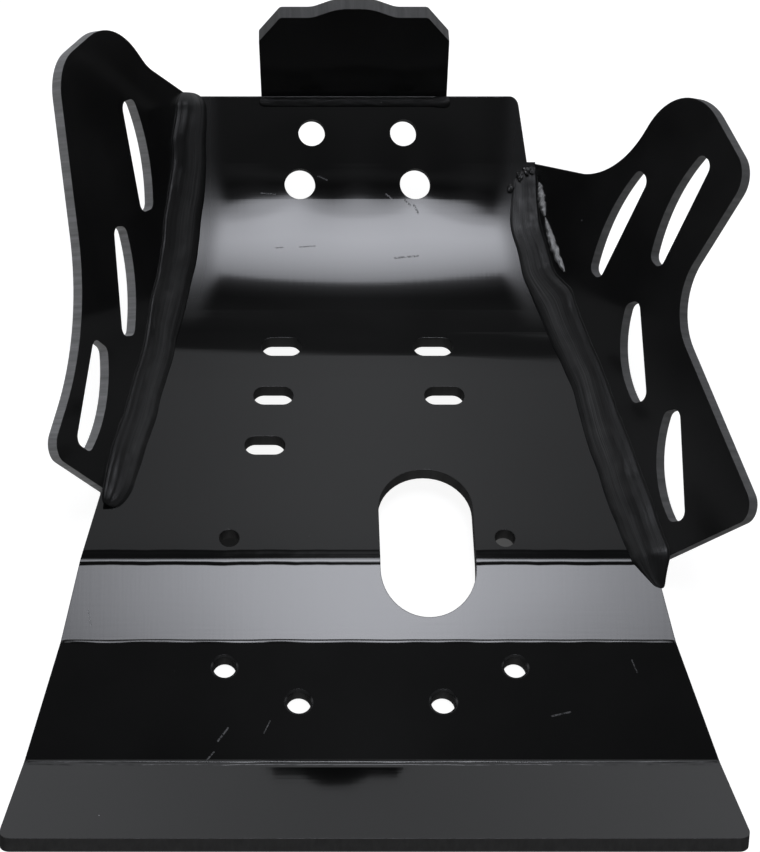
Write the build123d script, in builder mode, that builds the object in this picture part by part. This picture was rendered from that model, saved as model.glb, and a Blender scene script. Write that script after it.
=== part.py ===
"""Motorcycle skid plate with a linkage guard, welded up from black polyethylene sheet.

One folded main plate runs from the raised rear lip, over the linkage flat and a ramp, along the
belly and up a wide curve to the front. Two flat side wings and a front tab are welded to it.
Millimetres. X is to the bike's right, Y forward, Z up. The origin is midway between the two
belly bolt holes, on the belly's inner (top) face.
"""
import os
from math import cos, hypot, radians, sin, tan

from build123d import *

# Sheet
plate_thickness = 8.0
wing_thickness = 5.0
tab_thickness = 8.0

# Side profile of the plate's inner face, rear to front (lengths along the face, degrees)
lip_length = 52.0
lip_rise = 22.9
rear_length = 64.3
ramp_length = 40.6
ramp_drop = 17.0
belly_length = 108.5
lead_radius = 420.0
lead_rise = 4.0
lead_length = 71.3
curve_radius = 162.0
front_rise = 33.5
front_length = 36.1
fold_radius = 6.0

# Plan of the plate, half widths from the centre plane
left_lip_half_width = 170.2
right_lip_half_width = 167.0
lip_corner_radius = 5.0
left_rear_half_width = 162.3
right_rear_half_width = 161.1
left_bend_half_width = 139.9
left_heel_half_width = 131.7
right_heel_half_width = 139.5
right_shoulder_half_width = 90.3
right_shoulder_setback = 29.4
right_front_half_width = 85.2
front_corner_radius = 5.0

# Belly bolt holes, which carry the origin
belly_hole_spacing = 135.0
belly_hole_diameter = 10.0
belly_hole_setback = 12.0

# Belly slots: rows of two that spread towards the rear, the last row with only its left slot
slot_length = 20.5
slot_width = 11.2
slot_centre_x = -1.8
slot_front_reach = 128.7
slot_row_pitch = 30.8
slot_front_spacing = 78.6
slot_row_spread = 8.8
slot_rows = 3

# Drain opening, which crosses the belly's rear bend
drain_width = 46.6
drain_length = 80.0
drain_centre_x = 29.4
drain_reach = 52.4

# Rear bolt holes in the linkage flat, measured back from the ramp's foot
rear_wide_spacing = 139.0
rear_wide_diameter = 11.0
rear_wide_setback = 14.0
rear_narrow_spacing = 68.4
rear_narrow_diameter = 11.6
rear_narrow_setback = 32.8
rear_hole_chamfer = 1.0

# Front holes, measured along the front face from the end of the curve
front_upper_spacing = 49.0
front_upper_diameter = 14.3
front_upper_rise = 16.6
front_lower_spacing = 61.6
front_lower_diameter = 16.5
front_lower_drop = 10.9

# Side wings: foot line at the belly's rear bend, toe-in and tilt up from the belly
left_foot_half_width = 136.0
left_toe_in = 14.1
left_tilt = 66.4
left_heel = 38.7
right_foot_half_width = 141.2
right_toe_in = 14.8
right_tilt = 64.2
right_heel = -1.7
right_toe_setback = 25.0

# Wing outlines as (forward, up, corner radius): noses from the front foot, tails from the heel
left_nose = [(2.0, 0.0, 3.0), (-15.4, 37.2, 30.0), (-19.0, 77.0, 46.0), (-78.0, 101.0, 24.0)]
left_tail = [(57.1, 60.0, 120.0), (-15.5, 54.6, 9.0)]
right_nose = [(-60.8, 52.5, 56.0), (-49.3, 125.2, 34.0), (-126.5, 128.0, 14.0)]
right_tail = [(101.7, 74.0, 33.0), (-21.1, 68.9, 9.0)]
left_toe_slope = 0.1
right_toe_slope = 1.22

# Wing slots as (front, rear) ends of the straight side, width at the ends and at the middle
left_nose_slots = [((-50.0, 46.5), (-84.1, 0.1), 12.5, 18.0)]
left_tail_slots = [
    ((115.2, 70.5), (73.9, 33.4), 11.7, 17.0),
    ((56.0, 54.9), (2.4, 39.9), 13.5, 20.6),
]
right_nose_slots = [
    ((-104.7, 111.9), (-122.0, 54.2), 10.0, 15.6),
    ((-78.4, 72.6), (-95.1, 14.5), 10.0, 15.3),
]
right_tail_slots = [
    ((117.9, 58.7), (72.3, 35.9), 10.0, 17.8),
    ((53.6, 53.3), (6.1, 26.8), 11.0, 19.4),
]
wing_slot_corner_radius = 4.8

# Front tab, upright against the front edge, with a low bump on its top
tab_centre_x = -1.6
tab_width = 99.0
tab_height = 58.3
tab_lean = 2.0
tab_chamfer_width = 11.4
tab_chamfer_height = 17.0
tab_corner_radius = 2.5
bump_foot_width = 43.0
bump_crown_width = 17.0
bump_height = 6.2
bump_foot_radius = 12.0
bump_crown_radius = 24.0

# Weld beads
bead_radius = 10.5
left_bead_inset = 8.0
right_bead_inset = 6.0
left_bead_overrun = 3.0
right_bead_overrun = 3.0
tab_bead_radius = 3.4
tab_bead_overhang = 1.5

# Stations of the inner face in the side view (Y, Z)
bend_y = -belly_hole_setback
foot_y = bend_y - ramp_length * cos(radians(ramp_drop))
rear_z = -ramp_length * sin(radians(ramp_drop))
lip_bend_y = foot_y - rear_length
lip_end_y = lip_bend_y - lip_length * cos(radians(lip_rise))
lip_end_z = rear_z + lip_length * sin(radians(lip_rise))
lead_y = bend_y + belly_length + lead_radius * tan(radians(lead_rise / 2))
knee_y = lead_y + lead_length * cos(radians(lead_rise))
knee_z = lead_length * sin(radians(lead_rise))
curve_setback = curve_radius * tan(radians((front_rise - lead_rise) / 2))
space_reach = 3 * left_lip_half_width


def along_front(distance):
    """Point of the front face in the side view, measured up it from the end of the curve."""
    from_knee = curve_setback + distance
    return (knee_y + from_knee * cos(radians(front_rise)), knee_z + from_knee * sin(radians(front_rise)))


front_y, front_z = along_front(front_length)
inner_corners = [
    (lip_end_y, lip_end_z),
    (lip_bend_y, rear_z),
    (foot_y, rear_z),
    (bend_y, 0),
    (lead_y, 0),
    (knee_y, knee_z),
]
inner_radii = [fold_radius, fold_radius, fold_radius + plate_thickness, lead_radius, curve_radius]
right_toe_y = front_y - right_toe_setback
right_shoulder_y = front_y - right_shoulder_setback
outer_drop = plate_thickness / cos(radians(front_rise))
right_toe_z = front_z - right_toe_setback * tan(radians(front_rise)) - outer_drop


def wing_plane(side, foot_half_width, toe_in, tilt):
    """Inner face of a wing: local X forward along its foot, local Y up it, side times Z outwards."""
    toe, lean = radians(toe_in), radians(tilt)
    foot = Vector(-side * sin(toe), cos(toe), 0)
    outwards = Vector(side * cos(toe) * sin(lean), sin(toe) * sin(lean), -cos(lean))
    return Plane(origin=(side * foot_half_width, bend_y, 0), x_dir=foot, z_dir=outwards * side)


def on_wing(plane, y, z):
    """Local place on a wing's inner face of the point at the given Y and Z."""
    origin, normal = plane.origin, plane.z_dir
    x = origin.X - (normal.Y * (y - origin.Y) + normal.Z * (z - origin.Z)) / normal.X
    local = plane.to_local_coords(Vector(x, y, z))
    return Vector(local.X, local.Y)


front_normal = (0, -sin(radians(front_rise)), cos(radians(front_rise)))
front_plane = Plane(origin=(0, *along_front(0)), x_dir=(1, 0, 0), z_dir=front_normal)
left_plane = wing_plane(-1, left_foot_half_width, left_toe_in, left_tilt)
right_plane = wing_plane(1, right_foot_half_width, right_toe_in, right_tilt)
left_toe = on_wing(left_plane, front_y, front_z)
right_toe = on_wing(right_plane, right_toe_y, right_toe_z)
wing_root = 4 * plate_thickness


def space_below(depth):
    """Everything under the plate, from a given depth below its inner face."""
    with BuildPart() as space:
        with BuildSketch(Plane.YZ):
            with BuildLine():
                line = FilletPolyline(*inner_corners, along_front(space_reach), radius=inner_radii)
                if depth:
                    line = offset(line, amount=depth, side=Side.RIGHT, closed=False)
                ends = (line @ 0, line @ 1)
                Polyline(ends[1], (ends[1].X, -space_reach), (ends[0].X, -space_reach), ends[0])
            make_face()
        extrude(amount=space_reach, both=True)
    return space.part


def wing_outline(tilt, toe, heel, nose, tail, toe_slope):
    """Closed outline of a wing, from below its front foot round to its heel, upright beside the plate."""
    heel_rise = wing_thickness / tan(radians(tilt))
    corners = [(toe.X + toe_slope * (toe.Y + wing_root), -wing_root)]
    corners += [(toe.X + forward, toe.Y + up) for forward, up, radius in nose]
    corners += [(heel + forward, up) for forward, up, radius in tail]
    corners += [(heel, heel_rise), (heel, -wing_root)]
    radii = [0] + [radius for forward, up, radius in nose + tail] + [0, 0]
    return FilletPolyline(*corners, radius=radii, close=True)


def slot_face(origin, front, rear, end_width, middle_width):
    """Slot with one straight side and one bowed side, its corners rounded."""
    start = Vector(*rear) + origin
    end = Vector(*front) + origin
    run = end - start
    across = Vector(run.Y, -run.X).normalized()
    with BuildSketch() as slot:
        with BuildLine():
            Polyline(start + across * end_width, start, end, end + across * end_width)
            middle = (start + end) / 2 + across * middle_width
            ThreePointArc(end + across * end_width, middle, start + across * end_width)
        make_face()
        fillet(slot.vertices(), wing_slot_corner_radius)
    return slot.sketch


def seam_points(plane, heel, overrun, toe_y, toe_z):
    """Foot of a wing on the plate's inner face: its rear end, bends and front end, and the bends' radii."""
    lead = on_wing(plane, lead_y, 0)
    knee = on_wing(plane, knee_y, knee_z)
    toe = on_wing(plane, toe_y, toe_z)
    stretch = (toe - knee).length / hypot(toe_y - knee_y, toe_z - knee_z)
    turn = (toe - knee).get_angle(knee - lead)
    radius = curve_setback * stretch / tan(radians(turn / 2))
    return [(heel - overrun, 0), (lead.X, lead.Y), (knee.X, knee.Y), (toe.X, toe.Y)], [lead_radius, radius]


under_inner_face = space_below(0)
under_outer_face = space_below(plate_thickness)
left_slots = [slot_face(left_toe, *slot) for slot in left_nose_slots]
left_slots += [slot_face(Vector(left_heel, 0), *slot) for slot in left_tail_slots]
right_slots = [slot_face(right_toe, *slot) for slot in right_nose_slots]
right_slots += [slot_face(Vector(right_heel, 0), *slot) for slot in right_tail_slots]

# Main plate: one folded sheet, trimmed to its plan and to the wings' inner faces
left_heel_y = bend_y + left_heel * cos(radians(left_toe_in))
right_heel_y = bend_y + right_heel * cos(radians(right_toe_in))
right_seam_x = right_foot_half_width - right_heel * sin(radians(right_toe_in))
plan_rear_y = lip_end_y - plate_thickness
left_flare = (left_lip_half_width - left_rear_half_width) / (lip_bend_y - lip_end_y)
right_flare = (right_lip_half_width - right_rear_half_width) / (lip_bend_y - lip_end_y)
with BuildPart() as main_plate:
    with BuildSketch(Plane.YZ):
        with BuildLine():
            FilletPolyline(*inner_corners, (front_y, front_z), radius=inner_radii)
            offset(amount=plate_thickness, side=Side.RIGHT)
        make_face()
    extrude(amount=space_reach, both=True)
    with BuildSketch():
        with BuildLine():
            FilletPolyline(
                (-left_lip_half_width - left_flare * plate_thickness, plan_rear_y),
                (-left_rear_half_width, lip_bend_y),
                (-left_bend_half_width, bend_y),
                (-left_heel_half_width, left_heel_y),
                (-left_heel_half_width, front_y),
                (right_front_half_width, front_y),
                (right_shoulder_half_width, right_shoulder_y),
                (right_seam_x, right_shoulder_y),
                (right_seam_x, right_heel_y),
                (right_heel_half_width, right_heel_y),
                (right_rear_half_width, lip_bend_y),
                (right_lip_half_width + right_flare * plate_thickness, plan_rear_y),
                radius=[0, 0, 0, 0, 0, front_corner_radius, 0, 0, 0, 0, 0, 0],
                close=True,
            )
        make_face()
    extrude(amount=space_reach, both=True, mode=Mode.INTERSECT)
    for side, plane, heel in ((-1, left_plane, left_heel), (1, right_plane, right_heel)):
        with BuildSketch(plane):
            with Locations((heel, 0)):
                Rectangle(space_reach, space_reach, align=(Align.MIN, Align.CENTER))
        extrude(amount=side * space_reach, mode=Mode.SUBTRACT)
    lip_end_face = main_plate.faces().sort_by(Axis.Y)[0]
    lip_corners = lip_end_face.edges().sort_by(Axis.X)
    fillet([lip_corners[0], lip_corners[-1]], lip_corner_radius)

    with GridLocations(belly_hole_spacing, 1, 2, 1):
        Hole(belly_hole_diameter / 2)
    for row in range(slot_rows):
        spacing = slot_front_spacing + row * slot_row_spread
        row_y = bend_y + slot_front_reach - row * slot_row_pitch
        sides = (-1, 1) if row < slot_rows - 1 else (-1,)
        with BuildSketch():
            with Locations(*[(slot_centre_x + side * spacing / 2, row_y) for side in sides]):
                SlotOverall(slot_length, slot_width)
        extrude(amount=2 * plate_thickness, both=True, mode=Mode.SUBTRACT)
    with BuildSketch():
        with Locations((drain_centre_x, bend_y + drain_reach - drain_length / 2)):
            SlotOverall(drain_length, drain_width, rotation=90)
    extrude(amount=space_reach, both=True, mode=Mode.SUBTRACT)
    for spacing, diameter, setback in (
        (rear_wide_spacing, rear_wide_diameter, rear_wide_setback),
        (rear_narrow_spacing, rear_narrow_diameter, rear_narrow_setback),
    ):
        with Locations((0, foot_y - setback, rear_z)):
            with GridLocations(spacing, 1, 2, 1):
                CounterSinkHole(
                    diameter / 2, diameter / 2 + rear_hole_chamfer, 2 * plate_thickness, counter_sink_angle=90
                )
    with BuildSketch(front_plane):
        for spacing, diameter, rise in (
            (front_upper_spacing, front_upper_diameter, front_upper_rise),
            (front_lower_spacing, front_lower_diameter, -front_lower_drop),
        ):
            with Locations((0, rise)):
                with GridLocations(spacing, 1, 2, 1):
                    Circle(diameter / 2)
    extrude(amount=2 * plate_thickness, both=True, mode=Mode.SUBTRACT)

# Side wings: flat sheets that stand against the plate's cut edges, flush with its outer face
with BuildPart() as left_wing:
    with BuildSketch(left_plane):
        with BuildLine():
            wing_outline(left_tilt, left_toe, left_heel, left_nose, left_tail, left_toe_slope)
        make_face()
        add(left_slots, mode=Mode.SUBTRACT)
    extrude(amount=-wing_thickness)
    add(under_outer_face, mode=Mode.SUBTRACT)

with BuildPart() as right_wing:
    with BuildSketch(right_plane):
        with BuildLine():
            wing_outline(right_tilt, right_toe, right_heel, right_nose, right_tail, right_toe_slope)
        make_face()
        add(right_slots, mode=Mode.SUBTRACT)
    extrude(amount=wing_thickness)
    add(under_outer_face, mode=Mode.SUBTRACT)

# Front tab: upright sheet butted against the plate's front edge
tab_foot_z = front_z - outer_drop
tab_top_z = front_z + tab_height
with BuildPart() as front_tab:
    with BuildSketch(Plane((tab_centre_x, front_y, 0), x_dir=(1, 0, 0), z_dir=(0, -1, 0))):
        with BuildLine():
            half = [
                (tab_width / 2, tab_foot_z, 0),
                (tab_width / 2, tab_top_z - tab_chamfer_height, tab_corner_radius),
                (tab_width / 2 - tab_chamfer_width, tab_top_z, tab_corner_radius),
                (bump_foot_width / 2, tab_top_z, bump_foot_radius),
                (bump_crown_width / 2, tab_top_z + bump_height, bump_crown_radius),
            ]
            whole = half + [(-x, z, radius) for x, z, radius in reversed(half)]
            FilletPolyline(
                *[(x - (z - tab_foot_z) * tan(radians(tab_lean)), z) for x, z, radius in whole],
                radius=[radius for x, z, radius in whole],
                close=True,
            )
        make_face()
    extrude(amount=-tab_thickness)

# Weld beads: round beads laid in the inner corners, cut back to the faces that they join
with BuildPart() as left_weld_bead:
    points, radii = seam_points(
        left_plane, left_heel, left_bead_overrun, *along_front(front_length - left_bead_inset)
    )
    with BuildLine(left_plane) as left_seam:
        FilletPolyline(*points, radius=radii)
    with BuildSketch(Plane(left_seam.line @ 0, z_dir=left_seam.line % 0)):
        Circle(bead_radius)
    sweep(path=left_seam.line)
    with Locations(left_seam.line @ 0, left_seam.line @ 1):
        Sphere(bead_radius)
    add(under_inner_face, mode=Mode.SUBTRACT)
    split(bisect_by=left_plane, keep=Keep.TOP)

right_bead_front = front_length - right_toe_setback / cos(radians(front_rise)) - right_bead_inset
with BuildPart() as right_weld_bead:
    points, radii = seam_points(
        right_plane, right_heel, right_bead_overrun, *along_front(right_bead_front)
    )
    with BuildLine(right_plane) as right_seam:
        FilletPolyline(*points, radius=radii)
    with BuildSketch(Plane(right_seam.line @ 0, z_dir=right_seam.line % 0)):
        Circle(bead_radius)
    sweep(path=right_seam.line)
    with Locations(right_seam.line @ 0):
        Sphere(bead_radius)
    add(under_inner_face, mode=Mode.SUBTRACT)
    split(bisect_by=right_plane, keep=Keep.BOTTOM)

with BuildPart() as tab_weld_bead:
    bead_half = tab_width / 2 + tab_bead_overhang
    with BuildSketch(Plane.YZ.offset(tab_centre_x)):
        with Locations((front_y, front_z)):
            Circle(tab_bead_radius)
    extrude(amount=bead_half, both=True)
    add(under_inner_face, mode=Mode.SUBTRACT)
    split(bisect_by=Plane((0, front_y, 0), z_dir=(0, -1, 0)), keep=Keep.TOP)

os.makedirs("parts", exist_ok=True)
pieces = {
    "main_plate": main_plate,
    "left_wing": left_wing,
    "right_wing": right_wing,
    "front_tab": front_tab,
    "left_weld_bead": left_weld_bead,
    "right_weld_bead": right_weld_bead,
    "tab_weld_bead": tab_weld_bead,
}
for name, piece in pieces.items():
    piece.part.label = name
    export_step(piece.part, f"parts/{name}.step")
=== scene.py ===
"""Motorcycle skid plate: finishes, weld beads, fold ridges, floor, light and camera.

The folded plate, the wings and the tab are the CAD solids with a black polyethylene finish. The plate's
dents, creases and scratches are in its material. The lumpy weld beads and the ridges in two folds are
modelled here, along the seams and folds found on the sheets in the frame. Lengths are in metres, unless
a comment says otherwise.
"""
import math

import bmesh
import bpy
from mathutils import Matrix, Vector, noise
from mathutils.bvhtree import BVHTree


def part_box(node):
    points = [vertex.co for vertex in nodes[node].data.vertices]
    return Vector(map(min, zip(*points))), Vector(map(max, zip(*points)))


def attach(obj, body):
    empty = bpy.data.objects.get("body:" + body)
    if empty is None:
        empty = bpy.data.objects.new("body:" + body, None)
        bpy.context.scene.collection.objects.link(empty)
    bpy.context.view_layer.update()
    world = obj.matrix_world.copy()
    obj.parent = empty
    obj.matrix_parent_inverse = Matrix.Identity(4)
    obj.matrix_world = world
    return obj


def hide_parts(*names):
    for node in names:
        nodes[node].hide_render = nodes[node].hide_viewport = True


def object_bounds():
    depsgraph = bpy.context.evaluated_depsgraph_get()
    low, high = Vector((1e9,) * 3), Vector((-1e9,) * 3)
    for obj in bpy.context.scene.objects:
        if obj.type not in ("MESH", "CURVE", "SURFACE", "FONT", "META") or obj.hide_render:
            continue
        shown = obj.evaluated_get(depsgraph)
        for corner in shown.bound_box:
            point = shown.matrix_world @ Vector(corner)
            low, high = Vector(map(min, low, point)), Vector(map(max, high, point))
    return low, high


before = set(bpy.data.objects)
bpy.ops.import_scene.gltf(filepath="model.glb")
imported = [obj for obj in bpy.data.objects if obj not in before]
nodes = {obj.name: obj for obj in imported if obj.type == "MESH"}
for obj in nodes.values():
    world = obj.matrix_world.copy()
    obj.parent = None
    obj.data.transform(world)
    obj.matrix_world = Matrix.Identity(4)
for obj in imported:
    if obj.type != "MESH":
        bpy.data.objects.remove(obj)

cad_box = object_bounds()
scene = bpy.context.scene
up = Vector((0, 0, 1))
mm = 0.001

# Photograph's camera in pixels, metres and degrees, with its sensor in millimetres
image_width = 760
focal_pixels = 2278.9
centre_column = 253.2
camera_place = (-0.0558, -0.5931, 0.9465)
camera_pitch = 55.11
sensor_width = 36.0

# Light by height above the horizon in degrees, from straight ahead over the top to straight behind
half_turn = 180
backdrop_light = [
    (0, 0.66), (17, 0.70), (22, 0.76), (44, 0.80), (54, 0.92), (57.6, 0.88), (58.5, 0.82), (59.0, 0.6),
    (59.7, 0.15), (62.5, 0.14), (64.5, 0.09), (70, 0.1), (104, 0.1), (108, 0.08), (112.5, 0.2),
    (114.6, 0.17), (115.8, 0.13), (126, 0.12), (150, 0.4), (180, 0.5),
]
softbox_light = [
    (61, 0.0), (64.7, 0.07), (67, 0.2), (69.2, 0.45), (70.5, 1.2), (71.5, 4.0), (73.7, 5.1), (76, 6.1),
    (78.2, 6.9), (80.5, 7.7), (82.7, 8.3), (85, 8.75), (87.5, 9.2), (92.5, 8.8), (94.4, 8.4), (96.2, 6.6),
    (98.5, 5.5), (100.7, 3.6), (102, 1.7), (103, 0.45), (105, 0.1), (110, 0.0),
]

# Softbox overhead: strength, height of its middle in degrees, rounding of its sides, place and width across
softbox_scale = 10.0
softbox_gain = 1.08
softbox_middle = 90.0
softbox_rounding = 62.0
softbox_rounding_centre = 0.046
softbox_rounding_limit = 0.0045
softbox_centre = 0.055
softbox_spread = 0.105
softbox_tint = (1.0, 1.02, 1.1)

# Backdrop's sides: dimmer than its middle where it is high and brighter where it is low, heights in degrees
backdrop_centre = 0.047
backdrop_tint = (0.98, 1.0, 1.04)
high_backdrop = (34, 44)
high_backdrop_sides = 0.62
high_backdrop_spread = 0.055
low_backdrop = (30, 24)
low_backdrop_sides = 1.4
low_backdrop_spread = 0.09

# Ground below the horizon
ground_light = 0.12
ground_spread = 0.22
ground_sides = 0.01
horizon_blend = 0.02

# Floor, and the shade on it under the two belly bolt holes: (X, darkness)
floor_half = 20.0
floor_gap = 0.5 * mm
floor_tones = [(0.0, 0.29), (1.0, 0.31)]
floor_cloud_scale = 3.0
floor_roughness = 0.9
floor_glow = 0.92
hole_shades = [(-67 * mm, 0.995), (70 * mm, 0.93)]
hole_shade_y = 12 * mm
hole_shade_radius = 14 * mm
hole_shade_core = 0.7

# Plate's folds and lower front holes, repeated from the solids
belly_bend_y = -12.0 * mm
ramp_foot_y = -50.83 * mm
lip_bend_y = -115.13 * mm
front_hole_half_spacing = 30.8 * mm
front_hole_y = 208.8 * mm
front_hole_z = 22.6 * mm

# Line across the plate where its curve begins to show, for the swell and the haze
curve_start_y = 120 * mm

# Steps in the plate's inner face: start and end ahead of a fold or of the curve's line, and height
belly_approach = (1.5 * mm, 5.5 * mm, 0.24 * mm)
belly_crease = (-3.1 * mm, -0.4 * mm, 0.3 * mm)
curve_swell = (-14 * mm, 10 * mm, 0.36 * mm)
lip_crease = (-2.2 * mm, -1.5 * mm, 0.28 * mm)
curve_skew = 0.07
crease_wander = 2.0 * mm
crease_wander_scale = 34.0

# Slope of the lip's inner face just past its fold, and of its hollow beyond
lip_fold_reach = 3.5 * mm
lip_fold_easing = 0.03
lip_hollow = 0.009

# Dishes round the lower front holes, twist of the front's right end, brushed lines and waves
dish_spread = 14.0 * mm
dish_depth = 0.8 * mm
right_twist = 0.8 * mm
right_twist_x = (25 * mm, 70 * mm)
right_twist_y = (180 * mm, 222 * mm)
brush_depth = 0.004 * mm
brush_scale = 700.0
brush_stretches = [(1.0, 0.04, 0.04), (0.04, 1.0, 1.0)]
wave_height = 0.05 * mm
wave_scale = 14.0

# Haze on the plate's curve beside the wing beads
weld_haze = 0.22
weld_haze_reach = 22 * mm
weld_haze_core = 0.45
weld_haze_onset = 30 * mm

# Sheets: shade of the faces, shade of the cut edges, roughness of the faces. All are the same black
# polyethylene, and the differences in shade between them are painted light: the wing and tab faces lighter
# than the plate's, the wings' and the tab's cut edges lighter than the plate's, the left wing's most where
# they face up, and the plate's cut edges darker as painted shade in its holes, slots and lip end
plate_look = (0.0034, 0.018, 0.057)
left_wing_look = (0.0085, 0.2, 0.18)
right_wing_look = (0.010, 0.075, 0.18)
tab_look = (0.007, 0.07, 0.2)
fold_look = (0.004, 0.004, 0.057)

# Sheet finish: tones by noise on the faces, and the cutter's marks on the edges
face_tones = [(0.3, 0.75), (0.7, 1.25)]
face_cloud_scale = 22.0
face_cloud_range = (0.25, 0.75)
face_grain_scale = 350.0
face_grain_depth = 0.0006 * mm
edge_facing = (0.78, 0.62)
edge_rounding = 0.5 * mm
cut_tones = [(0.3, 0.7), (0.5, 1.0), (0.72, 1.35)]
cutter_scale = 420.0
cutter_stretch = 0.94
cut_roughness = 0.42
cut_depth = 0.12 * mm
roughness_shares = (0.8, 1.2)

# Dust: size of a cell, radius of a speck, share of the cells that have one
sheet_dust = (16 * mm, 0.45 * mm, 0.22)
sheet_dust_colour = (0.25, 0.25, 0.26, 1)
rod_dust = (11 * mm, 0.4 * mm, 0.2)
rod_dust_colour = (0.16, 0.16, 0.165, 1)
dust_core = 0.5

# Marks on the plate's inner face in millimetres: plan places of their two ends, and half width
plate_scratches = [
    ((-21.2, 212.2), (-16.4, 210.4), 0.5), ((-51.6, 204.2), (-44, 203.6), 0.4),
    ((15, 203.8), (18.2, 201.3), 0.5), ((-72.3, -104.4), (-67.6, -97.6), 0.6),
    ((-78.2, -115.3), (-74.1, -110.1), 0.5), ((-50.7, -100.2), (-47.9, -93.9), 0.4),
    ((84.9, -91.3), (93.6, -89.2), 0.6), ((125.4, -61.3), (127.2, -67.8), 0.4),
    ((-135.6, -36.3), (-134, -43.3), 0.3),
]
plate_specks = [
    ((-44.2, 176), (-40, 176.3), 0.5), ((-31, 176.5), (-23, 177.1), 0.5), ((19.3, 170.4), (31.5, 171.6), 0.8),
    ((25.1, 200.8), (27.8, 198.3), 0.7), ((29.9, 198.3), (32, 194.4), 0.8),
]
mark_core = 0.4
mark_ragged_scale = 1300.0
mark_ragged_range = (0.3, 0.55)
mark_roughness = 0.26
scratch_paleness = 0.3

# Weld rod: shade, roughness and shine. All are the same black rod: the left bead's darker shade than the
# right's is painted shade, and the smear's pale shade is a painted glint
left_bead_look = (0.016, 0.42, 0.35)
right_bead_look = (0.026, 0.42, 0.35)
tab_bead_look = (0.006, 0.5, 0.35)
torn_look = (0.03, 0.16, 0.7)
smear_look = (0.24, 0.18, 0.9)

# Weld rod's finish: a painted highlight by the share round a bead, lighter along its crown and darker at its
# sides, then fine lines along it, mottle and darker towards the rear
crown_painted_highlight = [(0.0, 0.12), (0.1, 0.35), (0.2, 0.8), (0.32, 1.0), (0.43, 0.7), (0.54, 0.3), (0.66, 0.14),
              (1.0, 0.16)]
rod_line_tones = [(0.35, 0.7), (0.65, 3.6)]
rod_line_rates = (14.0, 60.0, 0.0)
rod_line_depth = 0.12 * mm
rod_mottle_scale = 160.0
rod_mottle_range = (0.3, 0.7)
rod_mottle_depth = 0.06 * mm
darker_rear_y = 75 * mm
darker_rear_share = 0.4

# Wing beads in millimetres: (Y, reach on the plate, reach up the wing)
left_bead_reaches = [(14, 10, 8), (60, 9.8, 11), (100, 8.3, 13), (140, 7.2, 20), (185, 8.0, 22),
                     (225, 10.6, 15), (243, 11.8, 9), (252, 12.2, 5)]
right_bead_reaches = [(-24, 9, 3), (-10, 13, 9), (15, 13, 11), (52, 10.8, 13.5), (95, 6.5, 16),
                      (138, 8.6, 15.5), (165, 11.5, 7), (190, 13.6, 3), (208, 12, 1.8), (220, 8, 1)]

# Wing beads' rear and front ends: gap to the CAD bead's end, then (length, share of the size kept)
left_bead_gaps = (6 * mm, 0.0)
left_bead_ends = [(16 * mm, 0.3), (9 * mm, 0.12)]
right_bead_gaps = (1 * mm, 4 * mm)
right_bead_ends = [(20 * mm, 0.08), (10 * mm, 0.08)]

# Wing beads' seams and sections
above_plate = 0.3
least_upward_facing = 0.2
seam_inset = 10 * mm
seam_passes = 8
seam_stations = 240
overrun_stations = 6
bead_overrun = 2.5 * mm
bead_front_inset = 0.3 * mm
bead_points = 40
bead_crown = 1.1
bead_sunk = 1.5 * mm
bead_sunk_share = 0.8

# Wing beads' unevenness, with rates per metre along and numbers over the crown from plate to wing
plate_edge_wander = 0.8 * mm
plate_edge_rate = 60.0
wing_edge_wander = 1.1 * mm
wing_edge_rate = 50.0
strand_height = 0.05 * mm
strands_round = 5.5
strand_twist = 0.5
strand_twist_rate = 7.0
ridge_height = 0.6 * mm
ridge_rate = 5.0
ridges_round = 6.0
lump_height = 0.3 * mm
lump_rate = 110.0
lumps_round = 4.0
swell_fullness = 0.6

# Thin flash at the wing beads' upper edges
flash_width = 1.2 * mm
flash_height = 0.3 * mm
flash_wander = 0.6
flash_rate = 130.0
flash_lip = 1.15
flash_sunk = 0.2 * mm

# Torn lumps at the front end of the right bead in millimetres: Y, places across and up, size
right_bead_tears = [(212, 8.5, 0.8, 1.9), (214.5, 5.0, 0.8, 1.7), (206, 12.8, 0.3, 1.7),
                    (214, 2.0, 0.8, 1.2)]
tear_run = 12 * mm
tear_overrun = 4 * mm
tear_length = 1.4
tear_flatness = 0.8
tear_subdivisions = 4

# Torn lumps' roughness: (swing, rate, number that keeps the noises apart)
tear_roughness = [(0.55, 1.7, 0), (0.3, 5.0, 4)]

# Smears above the right bead in millimetres: (Y, lift up the wing) of the two ends, and half width
front_smear = ((206, 5), (187, 9), 3.2)
rear_smear = ((186, 9), (151, 16), 2.8)
smear_stations = 70
smear_points = 10
smear_height = 1.3 * mm
smear_sunk = 0.1 * mm
smear_root = 0.5 * mm
smear_end_share = 0.02

# Smears' unevenness, with rates over the whole length and from point to point round
smear_wander = 0.8 * mm
smear_wander_rate = 9.0
smear_bulge = 1.1
smear_bulge_rates = (14.0, 0.4)
smear_least_bulge = 0.15
smear_jitter = 0.5 * mm
smear_jitter_rates = (30.0, 0.6)

# Tab's bead, whose wobble has rates per metre along and from point to point round
tab_bead_stations = 160
tab_bead_points = 12
tab_bead_half_width = 2.6 * mm
tab_bead_height = 1.6 * mm
tab_bead_sunk = 0.1 * mm
tab_bead_root = 1 * mm
tab_bead_end = 2.5 * mm
tab_bead_end_size = 0.35
tab_bead_blob = 9 * mm
tab_bead_blob_swell = 0.35
tab_bead_wobble = 0.5
tab_bead_wobble_rates = (140.0, 0.3)

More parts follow.
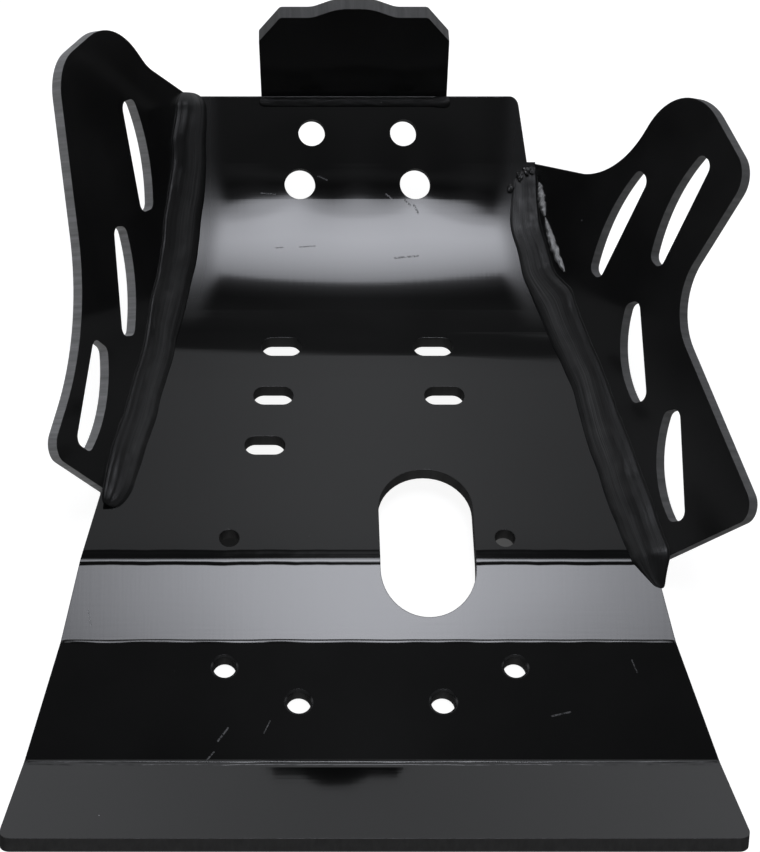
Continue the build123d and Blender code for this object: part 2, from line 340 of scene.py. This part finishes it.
# Ridges in the folds: width and height, then the form of both
lip_ridge = (1.8 * mm, 0.32 * mm)
ramp_ridge = (2.8 * mm, 0.4 * mm)
fold_step = 1.5 * mm
fold_points = 8
fold_shortest_run = 4
fold_fade = 6 * mm
fold_least_fade = 0.1
fold_sway = 0.35 * mm
fold_sway_rate = 35.0
fold_crest_wander = 0.45
fold_crest_rate = 60.0
fold_sharpness = 1.5
fold_sunk = 0.02 * mm
fold_root = 0.6 * mm


class Graph:
    """Short way to add and join nodes in one shader tree."""

    def __init__(self, tree):
        self.tree = tree

    def add(self, kind, **settings):
        node = self.tree.nodes.new(kind)
        for key, value in settings.items():
            setattr(node, key, value)
        return node

    def feed(self, socket, value):
        if isinstance(value, bpy.types.NodeSocket):
            self.tree.links.new(value, socket)
        else:
            socket.default_value = value

    def math(self, operation, *values, clamp=False):
        node = self.add("ShaderNodeMath", operation=operation, use_clamp=clamp)
        for socket, value in zip(node.inputs, values):
            self.feed(socket, value)
        return node.outputs[0]

    def vector(self, operation, *values):
        node = self.add("ShaderNodeVectorMath", operation=operation)
        for socket, value in zip(node.inputs, values):
            self.feed(socket, value)
        return node.outputs["Value" if operation in ("DOT_PRODUCT", "DISTANCE") else "Vector"]

    def scale(self, vector, factor):
        node = self.add("ShaderNodeVectorMath", operation="SCALE")
        self.feed(node.inputs[0], vector)
        self.feed(node.inputs["Scale"], factor)
        return node.outputs["Vector"]

    def parts(self, vector):
        """X, Y and Z of a vector."""
        node = self.add("ShaderNodeSeparateXYZ")
        self.feed(node.inputs[0], vector)
        return node.outputs

    def ramp(self, factor, stops, shade=1.0):
        """Grey by a factor, from stops of (factor, tone) times a shade."""
        node = self.add("ShaderNodeValToRGB")
        elements = node.color_ramp.elements
        while len(elements) < len(stops):
            elements.new(1.0)
        for element, (place, tone) in zip(elements, stops):
            element.position = place
            element.color = (tone * shade, tone * shade, tone * shade, 1)
        self.feed(node.inputs["Fac"], factor)
        return node.outputs["Color"]

    def span(self, value, low, high, start=0.0, end=1.0):
        """Smooth step from a start to an end while a value goes from low to high."""
        node = self.add("ShaderNodeMapRange", interpolation_type="SMOOTHSTEP")
        for name, number in (("From Min", low), ("From Max", high), ("To Min", start), ("To Max", end)):
            node.inputs[name].default_value = number
        self.feed(node.inputs["Value"], value)
        return node.outputs["Result"]

    def noise(self, place, scale, detail=2.0, roughness=0.5):
        node = self.add("ShaderNodeTexNoise")
        self.feed(node.inputs["Vector"], place)
        node.inputs["Scale"].default_value = scale
        node.inputs["Detail"].default_value = detail
        node.inputs["Roughness"].default_value = roughness
        return node.outputs["Fac"]

    def mix(self, factor, first, second):
        node = self.add("ShaderNodeMix", data_type="RGBA")
        self.feed(node.inputs["Factor"], factor)
        self.feed(node.inputs[6], first)
        self.feed(node.inputs[7], second)
        return node.outputs[2]

    def bump(self, height, normal=None):
        """Shading normal of a surface raised by a height in metres."""
        node = self.add("ShaderNodeBump")
        node.inputs["Strength"].default_value = 1.0
        node.inputs["Distance"].default_value = 1.0
        self.feed(node.inputs["Height"], height)
        if normal:
            self.feed(node.inputs["Normal"], normal)
        return node.outputs["Normal"]

    def joined(self, operation, values):
        """Result of an operation on two numbers, run over all the values."""
        result = values[0]
        for value in values[1:]:
            result = self.math(operation, result, value)
        return result

    def total(self, *values):
        return self.joined("ADD", values)

    def product(self, *values):
        return self.joined("MULTIPLY", values)

    def most(self, *values):
        return self.joined("MAXIMUM", values)


def new_material(name):
    material = bpy.data.materials.new(name)
    material.use_nodes = True
    return material, Graph(material.node_tree), material.node_tree.nodes["Principled BSDF"]


def patchy_roughness(graph, clouds, cloud_range, mean):
    """Roughness that goes a little below and above its mean with the clouds of a noise."""
    low, high = [share * mean for share in roughness_shares]
    return graph.span(clouds, *cloud_range, low, high)


def dust_specks(graph, place, cell, radius, share):
    """Mask of small light specks, one in a share of the cells."""
    cells = graph.add("ShaderNodeTexVoronoi", feature="F1")
    graph.feed(cells.inputs["Vector"], place)
    cells.inputs["Scale"].default_value = 1 / cell
    near = graph.span(cells.outputs["Distance"], radius / cell, dust_core * radius / cell)
    chance = graph.add("ShaderNodeSeparateColor")
    graph.feed(chance.inputs[0], cells.outputs["Color"])
    chosen = graph.math("LESS_THAN", chance.outputs[0], share)
    return graph.product(near, chosen)


def line_mark(graph, plan, start, end, width):
    """Mask of a straight mark between two places of the plan."""
    first = Vector((*start, 0)) * mm
    run = Vector((*end, 0)) * mm - first
    from_start = graph.vector("SUBTRACT", plan, first)
    along = graph.vector("DOT_PRODUCT", from_start, run)
    share = graph.math("DIVIDE", along, run.length_squared, clamp=True)
    distance = graph.vector("DISTANCE", from_start, graph.scale(run, share))
    return graph.span(distance, width * mm, mark_core * width * mm)


def plate_marks(graph, place):
    """Masks of the light scratches and of the dull specks on the folded plate's inner face."""
    plan = graph.vector("MULTIPLY", place, (1, 1, 0))
    ragged = graph.span(graph.noise(place, mark_ragged_scale), *mark_ragged_range)
    scratches = graph.most(*[line_mark(graph, plan, *line) for line in plate_scratches])
    specks = graph.most(*[line_mark(graph, plan, *line) for line in plate_specks])
    return graph.product(scratches, ragged), graph.product(specks, ragged)


def plate_relief(graph, place):
    """Height in metres of the plate's creases, swell, dishes, lip, twist, brushed lines and waves."""
    x, y = graph.parts(place)[:2]
    across = graph.vector("MULTIPLY", place, (1, 0, 0))
    wander = graph.math("SUBTRACT", graph.noise(across, crease_wander_scale, detail=3.0), 0.5)
    wavy_y = graph.total(y, graph.product(wander, crease_wander))
    skewed_y = graph.math("MULTIPLY_ADD", x, curve_skew, y)
    steps = [(wavy_y, belly_bend_y, belly_approach), (wavy_y, belly_bend_y, belly_crease),
             (skewed_y, curve_start_y, curve_swell), (wavy_y, lip_bend_y, lip_crease)]
    heights = []
    for along, line, (start, end, height) in steps:
        heights.append(graph.span(along, line + start, line + end, 0.0, height))
    for side in (-1, 1):
        hole = (side * front_hole_half_spacing, front_hole_y, front_hole_z)
        ratio = graph.math("DIVIDE", graph.vector("DISTANCE", place, hole), dish_spread)
        fall = graph.math("EXPONENT", graph.product(ratio, ratio, -0.5))
        heights.append(graph.product(fall, -dish_depth))
    past_fold = graph.most(graph.math("SUBTRACT", lip_bend_y, y), 0.0)
    past_easing = graph.most(graph.math("SUBTRACT", past_fold, lip_fold_reach), 0.0)
    heights.append(graph.product(graph.math("MINIMUM", past_fold, lip_fold_reach), -lip_fold_easing))
    heights.append(graph.product(past_easing, lip_hollow))
    right_end = graph.span(x, *right_twist_x)
    heights.append(graph.product(right_end, graph.span(y, *right_twist_y, 0.0, right_twist)))
    for stretch in brush_stretches:
        brushed = graph.noise(graph.vector("MULTIPLY", place, stretch), brush_scale, detail=3.0)
        heights.append(graph.product(brushed, brush_depth))
    heights.append(graph.product(graph.noise(place, wave_scale, detail=1.0), wave_height))
    return graph.total(*heights)


def weld_hazing(graph, place):
    """Mask of the plate's curve beside the wing beads, where the heat has dulled it."""
    clears = []
    for wing in ("left_wing", "right_wing"):
        wing_normal, wing_point = inner_face(nodes[wing])
        along = graph.vector("DOT_PRODUCT", place, wing_normal)
        clears.append(graph.math("SUBTRACT", along, wing_normal.dot(wing_point)))
    near = graph.span(graph.math("MINIMUM", *clears), weld_haze_reach, weld_haze_core * weld_haze_reach)
    on_curve = graph.span(graph.parts(place)[1], curve_start_y, curve_start_y + weld_haze_onset)
    return graph.product(near, on_curve)


def sheet_finish(name, normal, look, marked=False):
    """Black polyethylene sheet whose cut edges are greyer, rougher and marked by the cutter; their grey is
    partly the milled plastic and partly painted light, set for each sheet.
    """
    base_shade, edge_shade, dullness = look
    material, graph, shader = new_material(name)
    place = graph.add("ShaderNodeTexCoord").outputs["Object"]
    facing = graph.vector("DOT_PRODUCT", graph.add("ShaderNodeNewGeometry").outputs["True Normal"], normal)
    edge = graph.span(graph.math("ABSOLUTE", facing), *edge_facing)

    depth = graph.product(graph.vector("DOT_PRODUCT", place, normal), cutter_stretch)
    along_cut = graph.vector("SUBTRACT", place, graph.scale(normal, depth))
    chatter = graph.noise(along_cut, cutter_scale, detail=4.0, roughness=0.65)
    # The cut edges' colour is partly the milled plastic's grey and partly painted light, by the sheet's edge
    # shade.
    cut_colour = graph.ramp(chatter, cut_tones, edge_shade)

    clouds = graph.noise(place, face_cloud_scale, detail=3.0)
    face_colour = graph.ramp(clouds, face_tones, base_shade)
    pale = dust_specks(graph, place, *sheet_dust)
    rough = patchy_roughness(graph, clouds, face_cloud_range, dullness)
    relief = graph.product(graph.noise(place, face_grain_scale, detail=1.0), face_grain_depth)
    if marked:
        scratches, specks = plate_marks(graph, place)
        pale = graph.most(pale, graph.product(scratches, scratch_paleness))
        rough = graph.math("MULTIPLY_ADD", graph.most(scratches, specks), mark_roughness, rough)
        rough = graph.math("MULTIPLY_ADD", weld_hazing(graph, place), weld_haze, rough)
        relief = graph.total(relief, plate_relief(graph, place))
    dusty = graph.mix(pale, face_colour, sheet_dust_colour)
    graph.feed(shader.inputs["Base Color"], graph.mix(edge, dusty, cut_colour))
    graph.feed(shader.inputs["Roughness"], graph.math("MULTIPLY_ADD", edge, cut_roughness, rough))
    rounded = graph.add("ShaderNodeBevel", samples=4)
    rounded.inputs["Radius"].default_value = edge_rounding
    cut_relief = graph.product(edge, chatter, cut_depth)
    normals = graph.bump(graph.total(relief, cut_relief), rounded.outputs["Normal"])
    graph.feed(shader.inputs["Normal"], normals)
    return material


def weld_finish(name, shade, rough, shine):
    """Black weld rod, drawn out in fine lines along the bead, with a painted highlight along its crown."""
    material, graph, shader = new_material(name)
    drawn = graph.add("ShaderNodeUVMap").outputs["UV"]
    place = graph.add("ShaderNodeTexCoord").outputs["Object"]
    lines = graph.noise(graph.vector("MULTIPLY", drawn, rod_line_rates), 1.0, detail=4.0, roughness=0.6)
    mottle = graph.noise(place, rod_mottle_scale, detail=3.0)
    # Painted highlight: the colour is lighter along the crown of the bead than at its sides.
    painted_crown_light = graph.ramp(graph.parts(drawn)[1], crown_painted_highlight)
    colour = graph.vector("MULTIPLY", painted_crown_light, graph.ramp(lines, rod_line_tones, shade))
    # Darker towards the rear of a bead.
    brightness = graph.span(graph.parts(place)[1], 0.0, darker_rear_y, darker_rear_share, 1.0)
    colour = graph.mix(brightness, (0, 0, 0, 1), colour)
    dusty = graph.mix(dust_specks(graph, place, *rod_dust), colour, rod_dust_colour)
    graph.feed(shader.inputs["Base Color"], dusty)
    shader.inputs["Specular IOR Level"].default_value = shine
    roughness = patchy_roughness(graph, mottle, rod_mottle_range, rough)
    graph.feed(shader.inputs["Roughness"], roughness)
    height = graph.total(graph.product(lines, rod_line_depth), graph.product(mottle, rod_mottle_depth))
    graph.feed(shader.inputs["Normal"], graph.bump(height))
    return material


def inner_face(node):
    """Normal of a flat sheet's upward side, and a point on it."""
    mesh = node.data
    upward = (p for p in mesh.polygons if p.normal.z > least_upward_facing)
    face = max(upward, key=lambda p: p.area)
    return face.normal.copy(), mesh.vertices[face.vertices[0]].co.copy()


def finish_sheets():
    """Finishes on the CAD sheets; the wings are kept out of mirror images, which came out too large."""
    left_normal = inner_face(nodes["left_wing"])[0]
    right_normal = inner_face(nodes["right_wing"])[0]
    finishes = {
        "main_plate": sheet_finish("plate_sheet", up, plate_look, marked=True),
        "left_wing": sheet_finish("left_wing_sheet", left_normal, left_wing_look),
        "right_wing": sheet_finish("right_wing_sheet", right_normal, right_wing_look),
        "front_tab": sheet_finish("tab_sheet", Vector((0, 1, 0)), tab_look),
    }
    for name, material in finishes.items():
        nodes[name].data.materials.clear()
        nodes[name].data.materials.append(material)
    for name in ("left_wing", "right_wing"):
        nodes[name].visible_glossy = False


plate_mesh = nodes["main_plate"].data
plate_tree = BVHTree.FromPolygons(
    [v.co for v in plate_mesh.vertices], [p.vertices[:] for p in plate_mesh.polygons])


def plate_top(x, y):
    """Point and normal of the plate's inner face above a place in the plan, or None over a hole."""
    place, normal = plate_tree.ray_cast(Vector((x, y, above_plate)), -up)[:2]
    return (place, normal) if place else None


def uneven(swing, *place):
    """Smooth noise of a given swing at a place of three numbers, some of which only keep noises apart."""
    return swing * noise.noise(Vector(place))


def seam_station(wing_normal, wing_point, side, y):
    """Point of a wing's seam at a given Y, and the plate's normal there."""
    z = 0.0
    for attempt in range(seam_passes):
        reach = wing_normal.y * (y - wing_point.y) + wing_normal.z * (z - wing_point.z)
        x = wing_point.x - reach / wing_normal.x
        place, plate_normal = plate_top(x - side * seam_inset, y)
        z = place.z
    return Vector((x, y, z)), plate_normal


def mesh_piece(name, build, material):
    """Piece of the object made from a bmesh, in the frame and riding on its one body."""
    mesh = bpy.data.meshes.new(name)
    bmesh.ops.recalc_face_normals(build, faces=build.faces[:])
    build.to_mesh(mesh)
    build.free()
    mesh.polygons.foreach_set("use_smooth", [True] * len(mesh.polygons))
    piece = bpy.data.objects.new(name, mesh)
    scene.collection.objects.link(piece)
    mesh.materials.append(material)
    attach(piece, "root")
    return piece


def tube(sections, build=None):
    """Closed skin over rings of points, with a UV of (metres along, share round), added to a bmesh."""
    build = build or bmesh.new()
    uv = build.loops.layers.uv.get("drawn") or build.loops.layers.uv.new("drawn")
    rings = [[build.verts.new(p) for p in ring] for ring in sections]
    count = len(rings[0])
    travelled = [0.0]
    for before, after in zip(sections, sections[1:]):
        travelled.append(travelled[-1] + (after[count // 2] - before[count // 2]).length)
    for i in range(len(rings) - 1):
        for j in range(count):
            k = (j + 1) % count
            face = build.faces.new((rings[i][j], rings[i][k], rings[i + 1][k], rings[i + 1][j]))
            spots = ((i, j), (i, j + 1), (i + 1, j + 1), (i + 1, j))
            for loop, (row, column) in zip(face.loops, spots):
                loop[uv].uv = (travelled[row], column / count)
    build.faces.new(rings[0])
    build.faces.new(list(reversed(rings[-1])))
    return build


def along_table(table, y):
    """Reaches on the plate and on the wing at a given Y, eased between the table's rows."""
    for (y0, *first), (y1, *second) in zip(table, table[1:]):
        if y <= y1 * mm or y1 == table[-1][0]:
            share = min(max((y - y0 * mm) / ((y1 - y0) * mm), 0.0), 1.0)
            share = share * share * (3 - 2 * share)
            return [(a + (b - a) * share) * mm for a, b in zip(first, second)]


def seam_line(wing, side, rear_y, front_y, overrun):
    """Stations along a wing's seam, each (point, plate normal), run on past the front by a little."""
    wing_normal, wing_point = inner_face(nodes[wing])
    line = []
    for i in range(seam_stations + 1):
        y = rear_y + (front_y - rear_y) * i / seam_stations
        line.append(seam_station(wing_normal, wing_point, side, y))
    last, plate_normal = line[-1]
    onward = (last - line[-2][0]).normalized()
    for i in range(1, overrun_stations + 1):
        line.append((last + onward * overrun * i / overrun_stations, plate_normal))
    return line


def corner_axes(line, i, wing_normal):
    """Directions at a seam's station: inwards on the plate and upwards on the wing."""
    plate_normal = line[i][1]
    along = (line[min(i + 1, len(line) - 1)][0] - line[max(i - 1, 0)][0]).normalized()
    inwards = along.cross(plate_normal).normalized()
    upwards = along.cross(wing_normal).normalized()
    inwards *= 1 if inwards.dot(wing_normal) > 0 else -1
    upwards *= 1 if upwards.dot(plate_normal) > 0 else -1
    return inwards, upwards


def end_size(from_end, length, kept):
    """Share of its full size that a bead has near one of its rounded ends."""
    nearness = min(from_end / length, 1.0)
    return kept + (1 - kept) * math.sqrt(max(1 - (1 - nearness) ** 2, 0.0))


def bead_ring(station, directions, wing_normal, reaches, size, travel, seed):
    """Section of a wing bead: lumpy crown from plate to wing, thin flash up the wing, and sunk root."""
    corner, plate_normal = station
    inwards, upwards = directions
    plate_reach, wing_reach = reaches
    width = plate_reach + uneven(plate_edge_wander, travel * plate_edge_rate, seed, 0.0)
    height = wing_reach + uneven(wing_edge_wander, travel * wing_edge_rate, seed, 5.0)
    twist = uneven(strand_twist, travel * strand_twist_rate, seed, 9.0)
    outwards = (inwards + upwards).normalized()
    ring = []
    for j in range(bead_points):
        share = j / bead_points
        quarter = 0.5 * math.pi * share
        across = inwards * width * math.cos(quarter) ** bead_crown
        rise = upwards * height * math.sin(quarter) ** bead_crown
        strand = strand_height * math.cos(2 * math.pi * (strands_round * share + twist))
        ridge = uneven(ridge_height, share * ridges_round, travel * ridge_rate, seed)
        lump = uneven(lump_height, share * lumps_round, travel * lump_rate, seed + 7)
        swell = outwards * (strand + ridge + lump) * math.sin(2 * quarter) ** swell_fullness
        ring.append(corner + size * (across + rise + swell))
    wing_foot = corner + size * height * upwards
    flash = flash_width * size * (1.0 + uneven(flash_wander, travel * flash_rate, seed, 2.0))
    ring.append(wing_foot + flash_height * size * wing_normal)
    ring.append(wing_foot + flash * upwards + 0.5 * flash_height * size * wing_normal)
    ring.append(wing_foot + flash_lip * flash * upwards - flash_sunk * wing_normal)
    sunk = bead_sunk * size
    ring.append(corner + size * bead_sunk_share * wing_reach * upwards - sunk * wing_normal)
    ring.append(corner - sunk * plate_normal - sunk * wing_normal)
    ring.append(corner + size * bead_sunk_share * plate_reach * inwards - sunk * plate_normal)
    return ring


def wing_bead(name, wing, side, table, gaps, ends, material, seed):
    """Extruded bead in the corner between a wing and the plate, where the CAD bead is."""
    wing_normal = inner_face(nodes[wing])[0]
    low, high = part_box(name)
    rear_gap, front_gap = gaps
    front_y = min(high.y - front_gap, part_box("main_plate")[1].y - bead_front_inset)
    line = seam_line(wing, side, low.y + rear_gap, front_y, bead_overrun)
    travels = [0.0]
    for before, after in zip(line, line[1:]):
        travels.append(travels[-1] + (after[0] - before[0]).length)
    sections = []
    for i, station in enumerate(line):
        size = 1.0
        for from_end, end in zip((travels[i], travels[-1] - travels[i]), ends):
            size *= end_size(from_end, *end)
        directions = corner_axes(line, i, wing_normal)
        reaches = along_table(table, station[0].y)
        sections.append(bead_ring(station, directions, wing_normal, reaches, size, travels[i], seed))
    piece = mesh_piece(name + "_skin", tube(sections), material)
    smooth = piece.modifiers.new("smooth", "SUBSURF")
    smooth.levels = 1
    smooth.render_levels = 1
    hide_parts(name)


def bead_tears(name, wing, side, tears, material, seed):
    """Torn lumps of rod left where the right bead was broken off."""
    wing_normal = inner_face(nodes[wing])[0]
    front_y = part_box("right_weld_bead")[1].y
    line = seam_line(wing, side, front_y - tear_run, front_y, tear_overrun)
    build = bmesh.new()
    build.loops.layers.uv.new("drawn")
    for number, (y, across, rise, size) in enumerate(tears):
        i = min(range(len(line)), key=lambda k: abs(line[k][0].y - y * mm))
        inwards, upwards = corner_axes(line, i, wing_normal)
        middle = line[i][0] + inwards * across * mm + upwards * rise * mm
        lump = bmesh.ops.create_icosphere(build, subdivisions=tear_subdivisions, radius=size * mm)
        for vert in lump["verts"]:
            way = vert.co.normalized()
            torn = 1.0
            for swing, rate, apart in tear_roughness:
                torn += uneven(swing, *(way * rate + Vector((seed, number, apart))))
            vert.co = middle + Vector((way.x, way.y * tear_length, way.z * tear_flatness)) * size * mm * torn
    mesh_piece(name, build, material)


def tab_bead(material):
    """Low lumpy bead on the plate along the foot of the front tab, fuller at its right end."""
    name = "tab_weld_bead"
    low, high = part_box(name)
    along_rate, round_rate = tab_bead_wobble_rates
    sections = []
    for i in range(tab_bead_stations + 1):
        x = low.x + (high.x - low.x) * i / tab_bead_stations
        nearness = min(min(x - low.x, high.x - x) / tab_bead_end, 1.0)
        size = tab_bead_end_size + (1 - tab_bead_end_size) * nearness ** 0.5
        size *= 1.0 + tab_bead_blob_swell * max(1 - (high.x - x) / tab_bead_blob, 0.0) ** 0.5
        foot, normal = plate_top(x, high.y - tab_bead_half_width)
        forward = Vector((0, normal.z, -normal.y))
        ring = []
        for j in range(tab_bead_points + 1):
            angle = math.pi * j / tab_bead_points
            wobble = 1 + uneven(tab_bead_wobble, x * along_rate, j * round_rate, 3.0)
            step = forward * math.cos(angle) * tab_bead_half_width
            rise = normal * math.sin(angle) * tab_bead_height * wobble
            ring.append(foot + size * (step + rise) - tab_bead_sunk * normal)
        ring.append(foot - tab_bead_root * normal)
        sections.append(ring)
    piece = mesh_piece(name + "_skin", tube(sections), material)
    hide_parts(name)


def wing_smear(name, wing, side, first, last, half_width, material, seed):
    """Shiny lumpy smear of melted rod on a wing above its bead, between two (Y, lift) places."""
    wing_normal, wing_point = inner_face(nodes[wing])
    upwards = (up - up.dot(wing_normal) * wing_normal).normalized()
    along = upwards.cross(wing_normal)
    bulge_rate, bulge_round_rate = smear_bulge_rates
    jitter_rate, jitter_round_rate = smear_jitter_rates
    sections = []
    for i in range(smear_stations + 1):
        share = i / smear_stations
        y, lift = [(a + (b - a) * share) * mm for a, b in zip(first, last)]
        corner = seam_station(wing_normal, wing_point, side, y)[0]
        taper = math.sin(math.pi * min(max(share, smear_end_share), 1 - smear_end_share)) ** 0.5
        wander = uneven(smear_wander, share * smear_wander_rate, seed, 1.0)
        middle = corner + upwards * (lift + wander)
        ring = []
        for j in range(smear_points + 1):
            angle = math.pi * j / smear_points
            bulge = 1.0 + uneven(smear_bulge, share * bulge_rate, j * bulge_round_rate, seed)
            side_step = upwards * math.cos(angle) * half_width * mm * taper
            rise = math.sin(angle) * max(bulge, smear_least_bulge) * smear_height * taper
            jitter = along * uneven(smear_jitter, share * jitter_rate, j * jitter_round_rate, seed + 3)
            ring.append(middle + side_step + wing_normal * (rise - smear_sunk) + jitter)
        ring.append(middle - smear_root * wing_normal)
        sections.append(ring)
    mesh_piece(name, tube(sections), material)


def fold_ridge(name, fold_y, width, height, material, seed):
    """Thin ridge squeezed up along the inside of a fold, from one cut edge to the other."""
    low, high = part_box("main_plate")
    runs = [[]]
    for i in range(int((high.x - low.x) / fold_step)):
        found = plate_top(low.x + (i + 0.5) * fold_step, fold_y)
        if found:
            runs[-1].append(found[0])
        elif runs[-1]:
            runs.append([])
    build = None
    for run in (r for r in runs if len(r) > fold_shortest_run):
        sections = []
        for i, place in enumerate(run):
            fade = min(min(i, len(run) - 1 - i) * fold_step / fold_fade, 1.0) ** 0.5
            sway = uneven(fold_sway, place.x * fold_sway_rate, seed, 0.0)
            fullness = 1 + uneven(fold_crest_wander, place.x * fold_crest_rate, seed, 4.0)
            crest = height * fullness * max(fade, fold_least_fade)
            ring = []
            for j in range(fold_points + 1):
                from_middle = j / fold_points - 0.5
                lift = crest * math.cos(math.pi * from_middle) ** fold_sharpness
                ring.append(place + Vector((0, from_middle * width + sway, 0)) + up * (lift - fold_sunk))
            ring.append(place - fold_root * up)
            sections.append(ring)
        build = tube(sections, build)
    mesh_piece(name, build, material)


def lay_beads():
    left_rod = weld_finish("left_weld_rod", *left_bead_look)
    right_rod = weld_finish("right_weld_rod", *right_bead_look)
    dull = weld_finish("weld_dull", *tab_bead_look)
    torn = weld_finish("weld_torn", *torn_look)
    # The smear's pale colour is a painted glint on shiny rod.
    glossy_painted_glint = weld_finish("weld_smear", *smear_look)
    wing_bead("left_weld_bead", "left_wing", -1, left_bead_reaches, left_bead_gaps, left_bead_ends,
              left_rod, seed=11.0)
    wing_bead("right_weld_bead", "right_wing", 1, right_bead_reaches, right_bead_gaps, right_bead_ends,
              right_rod, seed=23.0)
    bead_tears("right_weld_tears", "right_wing", 1, right_bead_tears, torn, seed=3.0)
    wing_smear("right_weld_smear_front", "right_wing", 1, *front_smear, glossy_painted_glint, seed=5.0)
    wing_smear("right_weld_smear_rear", "right_wing", 1, *rear_smear, glossy_painted_glint, seed=8.0)
    tab_bead(dull)


def mark_folds():
    fold = sheet_finish("fold_ridge", up, fold_look)
    fold_ridge("lip_fold_ridge", lip_bend_y, *lip_ridge, fold, seed=2.0)
    fold_ridge("ramp_fold_ridge", ramp_foot_y, *ramp_ridge, fold, seed=6.0)


def pale_floor():
    """Pale floor, in shade where it is seen through the two belly bolt holes."""
    mesh = bpy.data.meshes.new("floor")
    floor_z = cad_box[0][2] - floor_gap
    corners = [(x * floor_half, y * floor_half, floor_z) for x, y in ((-1, -1), (1, -1), (1, 1), (-1, 1))]
    mesh.from_pydata(corners, [], [(0, 1, 2, 3)])
    floor = bpy.data.objects.new("floor", mesh)
    scene.collection.objects.link(floor)
    material, graph, shader = new_material("floor")
    place = graph.add("ShaderNodeTexCoord").outputs["Object"]
    graph.feed(shader.inputs["Base Color"], graph.ramp(graph.noise(place, floor_cloud_scale), floor_tones))
    shader.inputs["Roughness"].default_value = floor_roughness
    shader.inputs["Emission Color"].default_value = (1, 1, 1, 1)
    glow = floor_glow
    for x, darkness in hole_shades:
        distance = graph.vector("DISTANCE", place, (x, hole_shade_y, floor_z))
        lit = graph.span(distance, hole_shade_core * hole_shade_radius, hole_shade_radius, 1 - darkness, 1.0)
        glow = graph.product(glow, lit)
    graph.feed(shader.inputs["Emission Strength"], glow)
    mesh.materials.append(material)
    floor.visible_glossy = False


def studio_light():
    """World with a lit backdrop ahead, a round-sided softbox overhead and a faint ground."""
    world = bpy.data.worlds.new("studio")
    scene.world = world
    world.use_nodes = True
    graph = Graph(world.node_tree)
    across, ahead, height = graph.parts(graph.add("ShaderNodeTexCoord").outputs["Generated"])
    turn = graph.math("DIVIDE", graph.math("ARCTAN2", height, ahead), math.pi)

    def square_offset(centre, spread):
        offset = graph.math("DIVIDE", graph.math("SUBTRACT", across, centre), spread)
        return graph.product(offset, offset)

    def bell(centre, spread):
        return graph.math("EXPONENT", graph.product(square_offset(centre, spread), -0.5))

    def change_sides(wall, angles, sides, spread):
        """Backdrop made brighter or dimmer beside its middle, over a range of heights."""
        beside = graph.math("SUBTRACT", 1.0, bell(backdrop_centre, spread))
        at_height = graph.span(turn, *[angle / half_turn for angle in angles])
        change = graph.math("MULTIPLY_ADD", graph.product(beside, at_height), sides - 1, 1.0)
        return graph.product(wall, change)

    middle = softbox_middle / half_turn
    bend = graph.math("MINIMUM", square_offset(softbox_rounding_centre, 1.0), softbox_rounding_limit)
    squeeze = graph.math("MULTIPLY_ADD", bend, softbox_rounding, 1.0)
    lamp_turn = graph.math("MULTIPLY_ADD", graph.math("SUBTRACT", turn, middle), squeeze, middle)
    lamp_stops = [(angle / half_turn, light / softbox_scale) for angle, light in softbox_light]
    lamp = graph.ramp(lamp_turn, lamp_stops)
    strength = graph.product(bell(softbox_centre, softbox_spread), softbox_scale * softbox_gain)
    lamp = graph.vector("MULTIPLY", graph.product(lamp, strength), softbox_tint)
    wall = graph.ramp(turn, [(angle / half_turn, light) for angle, light in backdrop_light])
    wall = change_sides(wall, high_backdrop, high_backdrop_sides, high_backdrop_spread)
    wall = change_sides(wall, low_backdrop, low_backdrop_sides, low_backdrop_spread)
    sky = graph.vector("ADD", lamp, graph.vector("MULTIPLY", wall, backdrop_tint))
    ground = graph.math("MULTIPLY_ADD", bell(0.0, ground_spread), ground_light, ground_sides)
    above = graph.span(height, -horizon_blend, horizon_blend)
    background = world.node_tree.nodes["Background"]
    graph.feed(background.inputs["Color"], graph.mix(above, ground, sky))
    background.inputs["Strength"].default_value = 1.0


def photograph_camera():
    data = bpy.data.cameras.new("camera")
    data.sensor_fit = "HORIZONTAL"
    data.sensor_width = sensor_width
    data.lens = sensor_width * focal_pixels / image_width
    data.shift_x = (image_width / 2 - centre_column) / image_width
    camera = bpy.data.objects.new("camera", data)
    camera.location = camera_place
    camera.rotation_euler = (math.radians(90 - camera_pitch), 0, 0)
    scene.collection.objects.link(camera)
    scene.camera = camera


finish_sheets()
lay_beads()
mark_folds()
pale_floor()
studio_light()
photograph_camera()
scene.view_settings.view_transform = "Standard"
